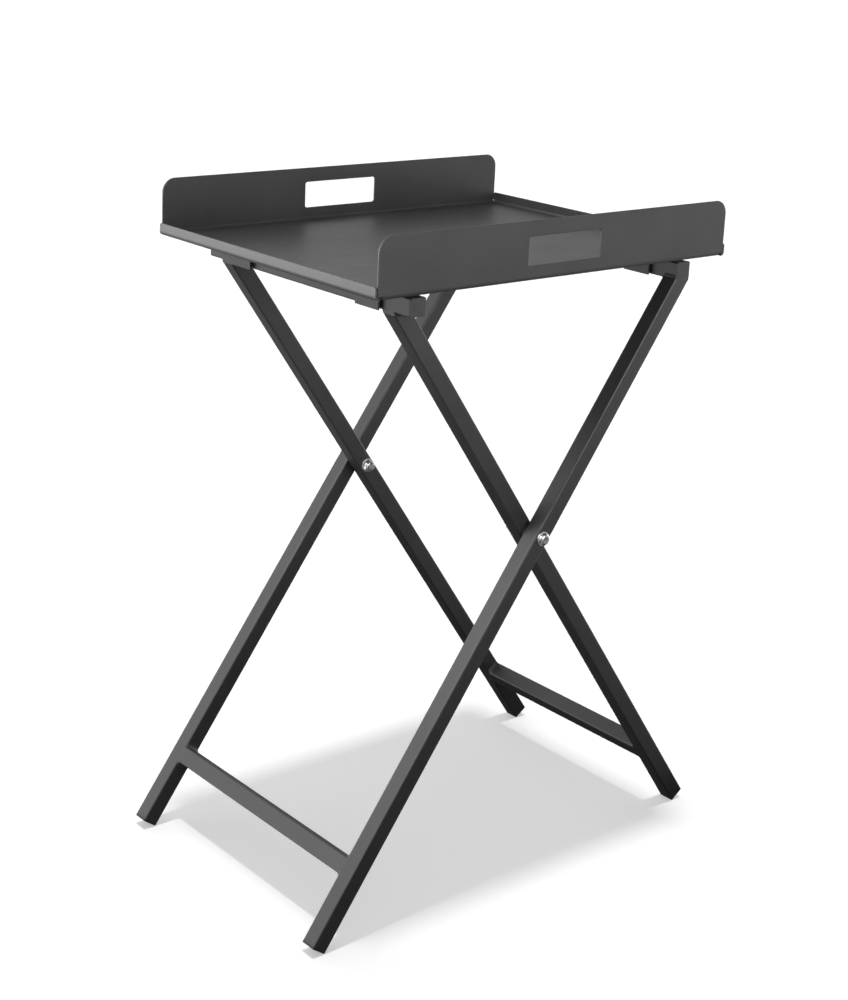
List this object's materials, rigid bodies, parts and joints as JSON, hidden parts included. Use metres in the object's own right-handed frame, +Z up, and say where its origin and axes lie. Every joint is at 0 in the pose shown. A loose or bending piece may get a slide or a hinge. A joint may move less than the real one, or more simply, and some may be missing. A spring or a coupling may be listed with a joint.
{
  "type": "folding tray table",
  "caption": "Rectangular sheet-metal tray with handle cut-outs in its tall walls, resting on a folding crossed-leg stand of square tube.",
  "frame": {"origin": "on the floor, below the axis of the two leg pivots, half way between the front and rear legs", "axes": "+Z up, +X along the tray's tall walls towards the side where the outer frame's top bar is, +Y across the stand along the pivot axis"},
  "size_m": [0.5966, 0.388, 0.7726],
  "materials": {
    "tray_coat": "fine matte powder coat on folded sheet",
    "frame_coat": "fine matte powder coat on square steel tube",
    "saddle_coat": "matte powder coat on folded sheet",
    "pad_rubber": "matte black rubber",
    "foot_plastic": "moulded black plastic",
    "plug_plastic": "moulded black plastic",
    "stainless": "bright stainless steel",
    "washer_steel": "bright stamped stainless steel",
    "nut_steel": "bright stainless steel",
    "spacer_nylon": "black nylon",
    "sleeve_steel": "plain zinc-plated steel"
  },
  "bodies": {
    "outer_frame": {"outer_top_bar": "frame_coat", "outer_stretcher": "frame_coat", "outer_leg_front": "frame_coat", "outer_foot_front": "foot_plastic", "outer_bar_end_front": "frame_coat", "pivot_screw_front": "stainless", "head_washer_front": "washer_steel", "pivot_spacer_front": "spacer_nylon", "nut_washer_front": "washer_steel", "lock_nut_front": "nut_steel", "outer_leg_rear": "frame_coat", "outer_foot_rear": "foot_plastic", "outer_bar_end_rear": "frame_coat", "pivot_screw_rear": "stainless", "head_washer_rear": "washer_steel", "pivot_spacer_rear": "spacer_nylon", "nut_washer_rear": "washer_steel", "lock_nut_rear": "nut_steel"},
    "inner_frame": {"inner_top_bar": "frame_coat", "inner_stretcher": "frame_coat", "inner_leg_front": "frame_coat", "inner_foot_front": "foot_plastic", "inner_bar_plug_front": "plug_plastic", "pivot_sleeve_front": "sleeve_steel", "inner_leg_rear": "frame_coat", "inner_foot_rear": "foot_plastic", "inner_bar_plug_rear": "plug_plastic", "pivot_sleeve_rear": "sleeve_steel"},
    "tray": {"tray_pan": "tray_coat", "outer_saddle_front": "saddle_coat", "inner_saddle_front": "saddle_coat", "outer_saddle_pad_front": "pad_rubber", "inner_saddle_pad_front": "pad_rubber", "outer_saddle_rear": "saddle_coat", "inner_saddle_rear": "saddle_coat", "outer_saddle_pad_rear": "pad_rubber", "inner_saddle_pad_rear": "pad_rubber"}
  },
  "joints": [
    {"name": "leg_fold", "type": "hinge", "parent": "outer_frame", "child": "inner_frame", "pos_m": [0, 0, 0.412], "axis": [0, 1, 0], "range_deg": [0, 64.5]},
    {"name": "tray_lift", "type": "slide", "parent": "outer_frame", "child": "tray", "axis": [0, 0, 1], "range_m": [0, 0.25]}
  ],
  "couplings": [
    {"joint": "tray_lift", "follows": "leg_fold", "m_per_rad": 0.22}
  ]
}
